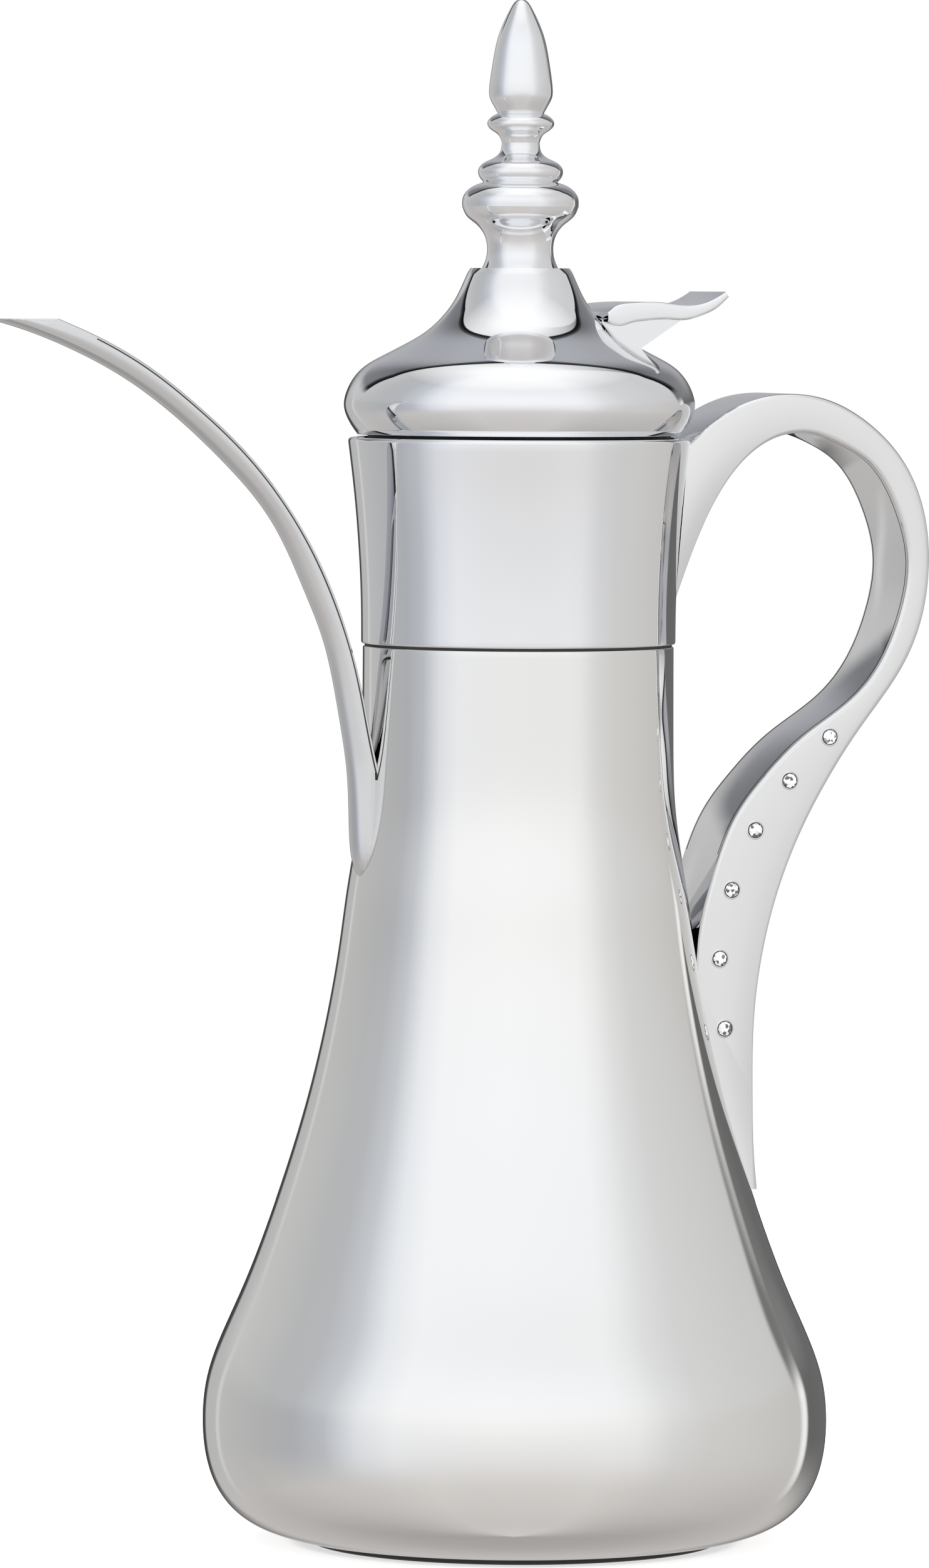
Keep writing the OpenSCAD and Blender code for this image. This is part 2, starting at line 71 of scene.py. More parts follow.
def cubic(points, step=0.8, ease=0.0):
    """Smooth curve through given points, resampled every step mm.

    ease evens out its bends over that many mm.
    """
    p = np.array(points, float)
    s = np.concatenate([[0], np.cumsum(np.linalg.norm(np.diff(p, axis=0), axis=1))])
    n = len(s)
    h = np.diff(s)
    a = np.zeros((n, n))
    b = np.zeros((n, p.shape[1]))
    a[0, 0] = a[-1, -1] = 1
    for i in range(1, n - 1):
        a[i, i - 1: i + 2] = h[i - 1], 2 * (h[i - 1] + h[i]), h[i]
        b[i] = 6 * ((p[i + 1] - p[i]) / h[i] - (p[i] - p[i - 1]) / h[i - 1])
    m = np.linalg.solve(a, b)
    count = max(3, int(round(s[-1] / step)) + 1)
    out = []
    for t in np.linspace(0, s[-1], count):
        i = min(int(np.searchsorted(s, t, side="right")) - 1, n - 2)
        u, v = (s[i + 1] - t) / h[i], (t - s[i]) / h[i]
        bend = ((u ** 3 - u) * m[i] + (v ** 3 - v) * m[i + 1]) * h[i] ** 2 / 6
        out.append(u * p[i] + v * p[i + 1] + bend)
    out = np.array(out)
    return eased(out, ease / step) if ease else out


def eased(curve, sigma):
    """The curve with its bends evened out by a Gaussian of sigma samples, its two ends kept in place."""
    reach = int(3 * sigma) + 1
    weights = np.exp(-0.5 * (np.arange(-reach, reach + 1) / sigma) ** 2)
    weights /= weights.sum()
    ahead = 2 * curve[0] - curve[1: reach + 1][::-1]
    after = 2 * curve[-1] - curve[-reach - 1: -1][::-1]
    longer = np.vstack([ahead, curve, after])
    return np.stack([np.convolve(longer[:, k], weights, "valid") for k in range(curve.shape[1])], axis=1)


def beside(curve, d):
    """The same curve moved d mm to its left."""
    t = np.gradient(np.array(curve, float), axis=0)
    t /= np.linalg.norm(t, axis=1)[:, None]
    return np.array(curve) + d * np.stack([-t[:, 1], t[:, 0]], axis=1)


def corner(before, at, after, r, steps=5):
    """Points of a round of radius r in place of a corner."""
    before, at, after = (np.array(q, float) for q in (before, at, after))
    u = (before - at) / np.linalg.norm(before - at)
    v = (after - at) / np.linalg.norm(after - at)
    half = math.acos(max(-1, min(1, float(u @ v)))) / 2
    reach = r / math.tan(half)
    centre = at + (u + v) / np.linalg.norm(u + v) * r / math.sin(half)
    start, end = at + u * reach - centre, at + v * reach - centre
    turn = math.atan2(start[0] * end[1] - start[1] * end[0], start @ end)
    out = []
    for k in range(steps + 1):
        c, s = math.cos(turn * k / steps), math.sin(turn * k / steps)
        out.append(centre + np.array([c * start[0] - s * start[1], s * start[0] + c * start[1]]))
    return out


# ---------------------------------------------------------------- meshes

def finished(name, bm, body, material, stands_for=(), sharp=40):
    """Turns a bmesh in mm into a shown piece that rides on a body."""
    bmesh.ops.scale(bm, vec=(MM, MM, MM), verts=bm.verts)
    bmesh.ops.recalc_face_normals(bm, faces=bm.faces)
    for f in bm.faces:
        f.smooth = True
    for e in bm.edges:
        e.smooth = e.is_manifold and e.calc_face_angle(0) < math.radians(sharp)
    mesh = bpy.data.meshes.new(name)
    bm.to_mesh(mesh)
    bm.free()
    piece = bpy.data.objects.new(name, mesh)
    bpy.context.scene.collection.objects.link(piece)
    mesh.materials.append(material)
    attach(piece, body)
    if stands_for:
        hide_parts(*stands_for)
    return piece


def bridge(bm, a, b):
    n = max(len(a), len(b))
    for k in range(n):
        quad = [a[k % len(a)], a[(k + 1) % len(a)], b[(k + 1) % len(b)], b[k % len(b)]]
        face = list(dict.fromkeys(quad))
        if len(face) > 2:
            bm.faces.new(face)


def turned(profile, segments=SEGMENTS):
    """bmesh turned round the pot's axis from a closed outline of (r, z)."""
    bm = bmesh.new()
    rings = []
    for r, z in profile:
        if r < 1e-4:
            rings.append([bm.verts.new((0, 0, z))])
            continue
        turns = [2 * math.pi * k / segments for k in range(segments)]
        rings.append([bm.verts.new((r * math.cos(a), r * math.sin(a), z)) for a in turns])
    for a, b in zip(rings, rings[1:] + rings[:1]):
        if len(a) > 1 or len(b) > 1:
            bridge(bm, a, b)
    return bm


def lofted(sections):
    """bmesh through closed sections of equal length, capped at both ends."""
    bm = bmesh.new()
    rings = [[bm.verts.new(q) for q in s] for s in sections]
    for a, b in zip(rings, rings[1:]):
        bridge(bm, a, b)
    bm.faces.new(rings[0])
    bm.faces.new(rings[-1][::-1])
    return bm


def cut(piece, *tools):
    """Takes the tools, which are bmeshes in mm, out of a piece for good."""
    for tool in tools:
        bmesh.ops.scale(tool, vec=(MM, MM, MM), verts=tool.verts)
        bmesh.ops.recalc_face_normals(tool, faces=tool.faces)
        mesh = bpy.data.meshes.new("cutter")
        tool.to_mesh(mesh)
        tool.free()
        cutter = bpy.data.objects.new("cutter", mesh)
        bpy.context.scene.collection.objects.link(cutter)
        m = piece.modifiers.new("cut", "BOOLEAN")
        m.operation = "DIFFERENCE"
        m.solver = "EXACT"
        m.object = cutter
        bpy.context.view_layer.update()
        shown = piece.evaluated_get(bpy.context.evaluated_depsgraph_get())
        made = bpy.data.meshes.new_from_object(shown)
        piece.modifiers.clear()
        piece.data = made
        bpy.data.objects.remove(cutter)


def block(low, high):
    """Cutter box between two corners, in mm."""
    bm = bmesh.new()
    bmesh.ops.create_cube(bm, size=1)
    for v in bm.verts:
        v.co = Vector([low[i] + (v.co[i] + 0.5) * (high[i] - low[i]) for i in range(3)])
    return bm


# ---------------------------------------------------------------- materials

def node_material(name, metallic=0.0, roughness=0.5, **sockets):
    m = bpy.data.materials.new(name)
    m.use_nodes = True
    shader = m.node_tree.nodes["Principled BSDF"]
    shader.inputs["Metallic"].default_value = metallic
    shader.inputs["Roughness"].default_value = roughness
    for key, value in sockets.items():
        shader.inputs[key.replace("_", " ")].default_value = value
    return m, m.node_tree, shader


def add_node(tree, kind, links=(), **values):
    """Adds a node; values are attributes or input sockets, links are (input, output socket) pairs."""
    node = tree.nodes.new(kind)
    for key, value in values.items():
        if hasattr(node, key):
            setattr(node, key, value)
        else:
            node.inputs[key.replace("_", " ")].default_value = value
    for key, socket in links:
        tree.links.new(node.inputs[key], socket)
    return node


def varied(tree, shader, scale, rough, colours, bump, bump_scale, stretch=(1, 1, 1)):
    """Noise in roughness and, between two colours, in colour, and a fine bump, in object coordinates."""
    where = add_node(tree, "ShaderNodeTexCoord").outputs["Object"]
    mapped = add_node(tree, "ShaderNodeMapping", [("Vector", where)], Scale=stretch).outputs["Vector"]
    cloud = add_node(tree, "ShaderNodeTexNoise", [("Vector", mapped)], Scale=scale, Detail=5.0)
    gloss = add_node(tree, "ShaderNodeMapRange", [("Value", cloud.outputs["Fac"])],
                     From_Min=0.3, From_Max=0.7, To_Min=rough[0], To_Max=rough[1])
    tree.links.new(shader.inputs["Roughness"], gloss.outputs["Result"])
    if colours:
        mix = add_node(tree, "ShaderNodeMix", [("Factor", cloud.outputs["Fac"])], data_type="RGBA")
        mix.inputs[6].default_value = (*colours[0], 1)
        mix.inputs[7].default_value = (*colours[1], 1)
        tree.links.new(shader.inputs["Base Color"], mix.outputs[2])
    grain = add_node(tree, "ShaderNodeTexNoise", [("Vector", mapped)], Scale=bump_scale, Detail=3.0)
    bumps = add_node(tree, "ShaderNodeBump", [("Height", grain.outputs["Fac"])],
                     Strength=bump, Distance=0.0002)
    tree.links.new(shader.inputs["Normal"], bumps.outputs["Normal"])


def varied_material(name, metallic, *look, **sockets):
    m, tree, shader = node_material(name, metallic, **sockets)
    varied(tree, shader, *look)
    return m


def ramp_of(tree, value, stops, low, high):
    """Colour ramp over a value between low and high; stops are (value, brightness or colour)."""
    unit = add_node(tree, "ShaderNodeMapRange", [("Value", value)], From_Min=low, From_Max=high)
    node = add_node(tree, "ShaderNodeValToRGB", [("Fac", unit.outputs["Result"])])
    ramp = node.color_ramp
    while len(ramp.elements) < len(stops):
        ramp.elements.new(0.999)
    for element, (at, _) in zip(ramp.elements, stops):
        element.position = (at - low) / (high - low)
    for element, (_, colour) in zip(ramp.elements, stops):
        element.color = (*(colour if isinstance(colour, tuple) else (colour,) * 3), 1)
    return node.outputs["Color"]


def chrome_material(name, tint):
    darker = tuple(0.985 * c for c in tint)
    return varied_material(name, 1.0, 35, (0.02, 0.035), (tint, darker), 0.015, 220)


def crystal_material():
    """Foil-backed stone with painted sparkle: its colour is painted bright or dark in small cells, for
    facets that catch or miss the light.
    """
    m, tree, shader = node_material("cut_crystal", metallic=0.25, Coat_Weight=1.0, Coat_IOR=1.8)
    varied(tree, shader, 400, (0.0, 0.03), None, 0.01, 900)
    where = add_node(tree, "ShaderNodeTexCoord").outputs["Object"]
    cells = add_node(tree, "ShaderNodeTexVoronoi", [("Vector", where)], Scale=1500.0)
    # painted sparkle: random cells of the stone's colour painted near black or near white
    painted_sparkle = ramp_of(tree, cells.outputs["Color"], [(0, 0.03), (0.3, 0.10), (0.35, 0.85), (1, 1.0)], 0, 1)
    tree.links.new(shader.inputs["Base Color"], painted_sparkle)
    return m


# Each finish: metallic, then noise scale, roughness range, two colours, bump strength and scale, stretch
CHROME = chrome_material("chrome_plate", (0.925, 0.93, 0.945))
FINISHES = {
    "chrome": CHROME,
    "satin_steel": varied_material(
        "satin_polished_steel", 1.0, 22, (0.035, 0.055),
        ((0.935, 0.93, 0.92), (0.92, 0.915, 0.905)), 0.012, 240, (1, 1, 0.35)),
    "plain_steel": varied_material(
        "plain_steel", 1.0, 60, (0.28, 0.42),
        ((0.56, 0.56, 0.57), (0.48, 0.48, 0.49)), 0.05, 900, (1, 1, 0.2)),
    "dark_plastic": varied_material(
        "dark_moulded_plastic", 0.0, 80, (0.42, 0.58),
        ((0.028, 0.028, 0.03), (0.018, 0.018, 0.02)), 0.12, 1400),
    "silicone": varied_material(
        "clear_white_silicone", 0.0, 50, (0.5, 0.65),
        ((0.72, 0.72, 0.70), (0.64, 0.64, 0.62)), 0.08, 900, Subsurface_Weight=0.1),
    "black_rubber": varied_material(
        "black_rubber", 0.0, 70, (0.6, 0.8),
        ((0.02, 0.02, 0.02), (0.035, 0.034, 0.033)), 0.15, 1600),
    "flask_glass": varied_material(
        "silvered_flask_glass", 1.0, 30, (0.05, 0.12),
        ((0.72, 0.75, 0.77), (0.62, 0.66, 0.70)), 0.03, 160),
    "crystal": crystal_material(),
}
RUBBER = FINISHES["black_rubber"]

# Every CAD node takes its slot's finish, and shows unless a finer piece below stands for it
for part in frame["record"]["subparts"]:
    node = frame["nodes"][part["node"]]
    node.data.materials.clear()
    node.data.materials.append(FINISHES[part["material_slot"]])


# ---------------------------------------------------------------- body, collar and lid

NECK_R = 37.2
BELLY_R = 75
SEAM_Z = 215
COLLAR_TOP = 264.7
BODY_WALL = 0.8
COLLAR_WALL = 2.2
DOME_WALL = 1.4
DOME_TOP = 305.3
STUD_R = 2.05  # bore for the stud that holds the finial
SLOT = (16.4, -9.3, 270), (32.6, 9.3, 310)  # opening in the dome for the lever


def swell(f):
    return NECK_R + (BELLY_R - NECK_R) * f


BODY_CURVE = [(swell(f), z) for f, z in (
    (0.43, 1.5), (0.69, 4.5), (0.875, 10.5), (0.972, 19), (1, 29.5), (0.975, 39), (0.89, 48.5),
    (0.755, 60), (0.625, 72.5), (0.515, 84.5), (0.41, 97), (0.325, 108.5), (0.25, 120.5),
    (0.185, 133), (0.135, 145), (0.095, 156.5), (0.045, 168), (0.015, 177), (0.003, 190), (0, SEAM_Z))]
COLLAR_CURVE = [
    (NECK_R + 0.42, SEAM_Z + 0.6), (NECK_R + 0.5, SEAM_Z + 10), (NECK_R + 1.3, SEAM_Z + 26),
    (NECK_R + 2.5, SEAM_Z + 39), (NECK_R + 3.5, COLLAR_TOP - 2.5), (NECK_R + 3.8, COLLAR_TOP)]
DOME_CURVE = [
    (38.3, 265.03), (39.7, 266.8), (41.2, 269.4), (42.1, 272.2), (41.6, 275.2), (40, 278.6),
    (37.2, 281.7), (33, 284.2), (27.6, 287), (22.4, 290.1), (18.6, 293.6), (16, 297),
    (14.3, 300.2), (12.9, 303.4), (12.2, 304.9)]
BODY_LINE = cubic(BODY_CURVE, 0.9, ease=3)
COLLAR_LINE = cubic(COLLAR_CURVE, 0.9, ease=2)


def shell_outline(outer, wall, top_round, bottom_round):
    """Closed outline of a turned shell from its outer curve, with its top and bottom edges rounded."""
    inner = beside(outer, wall)
    top = corner(outer[-4], outer[-1], inner[-1], top_round)
    bottom = [*corner(inner[1], inner[0], outer[0], SOFTEST),
              *corner(inner[0], outer[0], outer[3], bottom_round)]
    per_point = 0.8  # mm of curve that each point dropped beside a round makes room for
    keep_low = 2 + int(bottom_round / per_point)
    keep_top = 2 + int(top_round / per_point)
    return [*outer[keep_low:-keep_top], *top, *corner(outer[-1], inner[-1], inner[-4], SOFTEST),
            *inner[1:-1][::-1], *bottom]


def outer_body():
    outline = shell_outline(BODY_LINE, BODY_WALL, top_round=0.35, bottom_round=0.3)
    finished("satin_body", turned(outline), "pot", FINISHES["satin_steel"], ["outer_body"])


def collar():
    outline = shell_outline(COLLAR_LINE, COLLAR_WALL, top_round=0.9, bottom_round=0.45)
    finished("chrome_collar", turned(outline), "pot", CHROME, ["collar"])


def dome():
    curve = cubic(DOME_CURVE, 0.6, ease=1.2)
    inner = beside(curve, DOME_WALL)
    low = DOME_TOP - DOME_WALL
    top = [(11.8, DOME_TOP), (9.4, DOME_TOP), (2.1, DOME_TOP), (2.1, low), (11.2, low)]
    outline = [*curve[1:-1], *top, *inner[2:-4][::-1], *corner(inner[1], inner[0], curve[0], 0.15)]
    piece = finished("lid_dome_shell", turned(outline), "lid", CHROME, ["lid_dome"])
    cut(piece, block(*SLOT))


outer_body()
collar()
dome()

# ---------------------------------------------------------------- finial

FINIAL = {
    "finial_base": [(9.1, 305.3), (8.2, 307.5), (7.9, 310), (8.5, 313), (10.6, 315.8), (12.9, 317.8),
                    (13.9, 320)],
    "finial_bulb": [(13.9, 320), (13.8, 322), (12.7, 323.8), (11, 325), (8.8, 325.8)],
    "finial_ring": [(8.8, 325.8), (9.9, 327.2), (10.1, 328.7), (9.2, 330.1), (7, 331.3), (5, 332.9),
                    (4.5, 335.2)],
    "finial_bead": [(4.5, 335.2), (5.3, 337), (7.3, 338.5), (8, 339.8), (7.4, 341), (5.5, 342.2)],
    "finial_spire": [(5.5, 342.2), (6.6, 344.2), (7.5, 346.2), (7.6, 347.8), (7.2, 351.5), (6.5, 356),
                     (5.5, 360.5), (4, 364.4), (2.6, 367.2), (1.3, 369), (0, 369.7)],
}


def finial():
    for node, points in FINIAL.items():
        curve = cubic(points, 0.3)
        bore = [(STUD_R, curve[-1][1]), (STUD_R, curve[0][1])]
        if node == "finial_spire":
            bore = [(0, 352), (STUD_R, 350), (STUD_R, curve[0][1])]
        finished(node + "_turned", turned([*curve, *bore], 128), "lid", CHROME, [node])


finial()

# ---------------------------------------------------------------- spout

SPOUT = [  # nose edge and flat edge in the middle plane, from the neck to the tip
    ((-36, 156), (-30, 164)), ((-40.6, 160.5), (-32.5, 170)), ((-42.4, 170), (-34.5, 177)),
    ((-43, 184), (-37, 186.5)), ((-45.2, 198.6), (-39.5, 198)), ((-49, 216), (-43.3, 214)),
    ((-54.1, 228.5), (-48.5, 228.7)), ((-62.2, 244.8), (-57.1, 245)), ((-73.7, 258.3), (-68.3, 259.7)),
    ((-86.9, 270.2), (-81.6, 272.1)), ((-99.8, 279.3), (-94.8, 282.1)), ((-112.1, 285.6), (-106.9, 288.8)),
    ((-126, 290.9), (-118, 293.5)), ((-140, 294.4), (-128, 297.8))]
SPOUT_HALF_LOW = 4.5
SPOUT_HALF_TIP = 3.7
SPOUT_WALL = 1.0
SPOUT_TIP_Z = 292.9
SPOUT_TINT = (0.76, 0.765, 0.775)
SEAM_SHADE_DEPTH = 0.62, 0.98  # painted shade line along the joint under the flat strip, from the strip's face
SEAM_SHADE_SPAN = 180, 289  # its lowest and highest place


def pair_stations(pairs, step, ease):
    """Both edges of a ribbon at matching stations."""
    both = cubic([[*a, *b] for a, b in pairs], step, ease)
    return both[:, :2], both[:, 2:]


def section(far, near, points):
    """Points (depth from the near edge towards the far edge, y), placed in space."""
    u = (far - near) / np.linalg.norm(far - near)
    return [(near[0] + u[0] * d, y, near[1] + u[1] * d) for d, y in points]


def strip_section(far, near, low, high, left, right):
    """Rectangle between two depths from the near edge and two places across."""
    return section(far, near, [(low, left), (high, left), (high, right), (low, right)])


def spout_ring(far, near, half, inset):
    """Section of the spout: rounded nose, straight sides, flat face with small rounds."""
    w = half - inset
    low, high = inset, np.linalg.norm(far - near) - inset
    nose = min(w, 0.72 * (high - low))
    shoulder = high - nose - 0.01
    left, right = (low, -w), (low, w)
    r = max(0.5 - inset * 0.3, 0.15)
    arc = [(high - nose + nose * math.cos(a), w * math.sin(a))
           for a in np.linspace(-math.pi / 2, math.pi / 2, 17)]
    return section(far, near, [
        *corner((low + 1, -w), left, right, r, 4)[::-1], (shoulder, -w), *arc,
        (shoulder, w), *corner(left, right, (low + 1, w), r, 4)[::-1]])


def spout():
    far, near = pair_stations(SPOUT, 1.5, 3)
    n = len(far)
    halves = [SPOUT_HALF_LOW + (SPOUT_HALF_TIP - SPOUT_HALF_LOW) * i / (n - 1) for i in range(n)]
    bm = bmesh.new()
    tubes = []
    for inset in (0, SPOUT_WALL):
        rings = [[bm.verts.new(q) for q in spout_ring(f, e, w, inset)]
                 for f, e, w in zip(far, near, halves)]
        for a, b in zip(rings, rings[1:]):
            bridge(bm, a, b)
        tubes.append(rings)
    for end in (0, -1):
        bridge(bm, tubes[0][end], tubes[1][end])
    plating = chrome_material("chrome_spout", SPOUT_TINT)
    piece = finished("curved_spout", bm, "pot", plating, ["spout_shell", "spout_cover"])
    # painted shade: a black strip along the joint under the flat strip shows as a dark line 0.03 mm past
    # each side
    seam_shade = [strip_section(f, e, *SEAM_SHADE_DEPTH, -w - 0.03, w + 0.03)
            for f, e, w in zip(far, near, halves) if SEAM_SHADE_SPAN[0] < e[1] < SEAM_SHADE_SPAN[1]]
    finished("spout_seam_shade", lofted(seam_shade), "pot", RUBBER)
    core = [(0, BODY_LINE[0][1]), *BODY_LINE, (0, SEAM_Z)]
    cut(piece, block((-160, -20, SPOUT_TIP_Z), (-80, 20, 320)), turned(core))


spout()

# ---------------------------------------------------------------- handle

HANDLE_W = 24
HANDLE_ROUND = 1.3
HANDLE_TINT = (0.865, 0.865, 0.87)
HANDLE = [  # outer edge and inner edge of the ribbon, from the collar round the loop to the belly
    ((38.8, 263.2), (35.6, 225.5)), ((44, 267.8), (40.8, 239.2)), ((49, 271.2), (46.3, 250.4)),
    ((56.6, 274.4), (53.4, 259.6)), ((66, 275.5), (61.5, 264.9)), ((76, 273.8), (70, 266)),
    ((86, 268.3), (78, 263.5)), ((94.7, 259.5), (86.3, 258.3)), ((100.2, 247.5), (92.7, 248)),
    ((101.7, 235.5), (95.8, 237)), ((99.8, 221), (94.5, 224.5)), ((93.9, 208), (89.6, 212)),
    ((84.5, 195.5), (81, 201.6)), ((75.9, 183), (68.8, 193)), ((68, 168.6), (58.6, 183.2)),
    ((62.3, 154), (51.2, 173.4)), ((58.6, 139), (45.9, 160)), ((56.8, 124), (42.7, 147.5)),
    ((56.6, 107), (41.8, 134.5)), ((56.9, 95), (43.5, 112)), ((57.9, 84), (50, 84))]
SHADE_LINE_ACROSS = 10.2, 10.5  # the two painted shade lines along the joints on the handle's inner face, from its middle
SHADE_LINE_DEPTH = -0.04, 0.3
SHADE_LINE_FROM = 47.5, 150  # smallest x and z that they reach


def ribbon_ring(outer, inner, width, r):
    """Rounded rectangle between two edges."""
    t = np.linalg.norm(outer - inner)
    w = width / 2
    box = [(0, -w), (t, -w), (t, w), (0, w)]
    r = min(r, 0.35 * t)
    turns = [corner(box[i - 1], box[i], box[(i + 1) % 4], r) for i in range(4)]
    return section(outer, inner, [q for turn in turns for q in turn])


def handle():
    outer, inner = pair_stations(HANDLE, 1.5, 2)
    rings = [ribbon_ring(o, i, HANDLE_W, HANDLE_ROUND) for o, i in zip(outer, inner)]
    plating = chrome_material("chrome_handle", HANDLE_TINT)
    piece = finished("ribbon_handle", lofted(rings), "pot", plating,
                     ["handle_shell", "handle_cover"])
    inside = [(o, i) for o, i in zip(outer, inner) if i[0] > SHADE_LINE_FROM[0] and i[1] > SHADE_LINE_FROM[1]]
    # painted shade: black strips along the two joints on the inner face, 0.04 mm proud, show as its dark
    # lines
    for side, name in ((-1, "handle_seam_shade_right"), (1, "handle_seam_shade_left")):
        edges = sorted(side * y for y in SHADE_LINE_ACROSS)
        seam_shade = [strip_section(o, i, *SHADE_LINE_DEPTH, *edges) for o, i in inside]
        finished(name, lofted(seam_shade), "pot", RUBBER)
    core = [(0, BODY_LINE[0][1]), *BODY_LINE, *COLLAR_LINE, (0, COLLAR_TOP)]
    cut(piece, turned(core))


handle()

# ---------------------------------------------------------------- crystals

CRYSTALS = [(75.7, 192.8), (65.4, 182.4), (56.6, 170.6), (50.6, 156.3), (47.6, 139.8), (49, 122.9)]
CRYSTAL_TURN = 0.4  # radians that each crystal is turned past the one before
# Outlines of a bezel, a dark seat and a stone, as (radius, height over the handle's side)
BEZEL = [(2.3, -0.6), (2.3, 0.02), (2.2, 0.17), (2.08, 0.22), (1.98, 0.17), (1.94, 0.0), (1.92, -0.6)]
SEAT = [(0, -0.5), (1.9, -0.5), (1.9, 0.07), (1.5, 0.1), (0, 0.1)]
STONE = [(0, -0.1), (1.6, 0.02), (1.74, 0.14), (1.3, 0.4), (0.8, 0.52), (0, 0.52)]


def rings_at(outline, faces, twist):
    """bmesh of one turned piece at every crystal's place, on both sides of the handle."""
    bm = bmesh.new()
    for n, (x, z) in enumerate(CRYSTALS):
        for out in (-1, 1):
            rings = []
            for k, (r, h) in enumerate(outline):
                y = out * (HANDLE_W / 2 + h)
                if r == 0:
                    rings.append([bm.verts.new((x, y, z))])
                    continue
                first = 2 * math.pi * twist * (k % 2) / faces + CRYSTAL_TURN * n
                turns = [first + 2 * math.pi * i / faces for i in range(faces)]
                rings.append([bm.verts.new((x + r * math.cos(a), y, z + r * math.sin(a))) for a in turns])
            closing = [] if len(rings[0]) == 1 else rings[:1]
            for a, b in zip(rings, rings[1:] + closing):
                bridge(bm, a, b)
    return bm


finished("crystal_seats", rings_at(SEAT, 40, 0), "pot", RUBBER)
finished("crystal_rims", rings_at(BEZEL, 40, 0), "pot", CHROME, ["crystal_bezels"])
finished("crystal_stones", rings_at(STONE, 10, 0.5), "pot", FINISHES["crystal"], ["crystals"],
         sharp=4)

# ---------------------------------------------------------------- thumb lever

THUMB_W = 24.4
THUMB_ROUND = 0.7
THUMB_STATIONS = 60
THUMB_TOP = [
    (18, 295), (20, 296.4), (24, 297.2), (32, 297.3), (38, 296.7), (42, 297), (45.5, 298.3), (48.2, 299.9)]
THUMB_LOW = [
    (18, 292.6), (21.3, 291.6), (24, 292.3), (28, 292.9), (33, 293.2), (38, 293.1), (42.5, 294.3),
    (46, 296), (48.9, 298.6)]
WEB = [(18.6, 295.4), (38.4, 294.6), (38.4, 293.2), (27.4, 286), (26, 284.4), (17.8, 284.4), (17, 290)]
WEB_HALF = 8.5


def spread(curve, count):
    """count points taken evenly from a curve."""
    return [curve[int(round(i * (len(curve) - 1) / (count - 1)))] for i in range(count)]


def thumb_lever():
    edges = [spread(cubic(points, 0.5), THUMB_STATIONS) for points in (THUMB_TOP, THUMB_LOW)]
    rings = [ribbon_ring(top, low, THUMB_W, THUMB_ROUND) for top, low in zip(*edges)]
    finished("thumb_plate_cap", lofted(rings), "lever", CHROME, ["thumb_plate"])
    sides = [[(x, y, z) for x, z in WEB] for y in (-WEB_HALF, WEB_HALF)]
    finished("thumb_plate_web", lofted(sides), "lever", CHROME)


thumb_lever()

# ---------------------------------------------------------------- valve spring

SPRING_R = 4.6
SPRING_WIRE = 0.9
SPRING_TURNS = 9
WIRE_FACES = 10
STEPS_A_TURN = 20


def valve_spring():
    low, high = (c[2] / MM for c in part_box("valve_spring"))
    count = STEPS_A_TURN * SPRING_TURNS
    half = SPRING_WIRE / 2
    sections = []
    for i in range(count + 1):
        turn = 2 * math.pi * SPRING_TURNS * i / count
        z = low + half + (high - low - SPRING_WIRE) * i / count
        ring = []
        for k in range(WIRE_FACES):
            a = 2 * math.pi * k / WIRE_FACES
            r = SPRING_R + half * math.cos(a)
            ring.append((r * math.cos(turn), r * math.sin(turn), z + half * math.sin(a)))
        sections.append(ring)
    piece = finished("valve_spring_coil", lofted(sections), "lid", FINISHES["plain_steel"],
                     ["valve_spring"])
    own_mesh(piece)


valve_spring()

# ---------------------------------------------------------------- stage: floor, camera, light

VIEW_AZIMUTH = -20
VIEW_DISTANCE = 2.45
EYE_Z = 0.305
AIM = Vector((0, 0, 0.1818))
AIM_LEFT = 0.0127
VIEW_HEIGHT = 0.3757
ROLL = 0.27
SENSOR = 24
FLOOR_R = 0.9
FLOOR_GLOW = 0.62
SUN_ENERGY = 2.6
SUN_ANGLE = 80


def camera():
    a = math.radians(VIEW_AZIMUTH)
    right = Vector((math.cos(a), math.sin(a), 0))
    away = Vector((math.sin(a), -math.cos(a), 0))
    aim = AIM - right * AIM_LEFT
    place = aim + away * VIEW_DISTANCE
    place.z = EYE_Z
    data = bpy.data.cameras.new("camera")
    data.sensor_fit = "VERTICAL"
    data.sensor_height = SENSOR
    data.lens = SENSOR * (place - aim).length / VIEW_HEIGHT
    data.clip_end = 100
    cam = bpy.data.objects.new("camera", data)
    bpy.context.scene.collection.objects.link(cam)
    look = (aim - place).to_track_quat("-Z", "Y")
    cam.rotation_euler = look.to_euler()
    cam.rotation_euler.rotate_axis("Z", math.radians(ROLL))
    cam.location = place
    bpy.context.scene.camera = cam


def floor():
    """Pale floor; the metal doesn't mirror it, because the studio has a floor of its own."""
    bm = bmesh.new()
    bmesh.ops.create_circle(bm, cap_ends=True, segments=96, radius=FLOOR_R)
    mesh = bpy.data.meshes.new("floor")
    bm.to_mesh(mesh)
    bm.free()
    obj = bpy.data.objects.new("floor", mesh)
    bpy.context.scene.collection.objects.link(obj)
    obj.visible_glossy = False
    mesh.materials.append(varied_material(
        "pale_floor", 0.0, 8, (0.85, 0.95), ((0.9, 0.9, 0.9), (0.88, 0.88, 0.88)), 0.02, 60,
        Specular_IOR_Level=0.0, Emission_Color=(1, 1, 1, 1), Emission_Strength=FLOOR_GLOW))


def put(tree, socket, value):
    """Gives a socket a link or a value of its own."""
    if isinstance(value, bpy.types.NodeSocket):
        tree.links.new(socket, value)
    else:
        socket.default_value = value


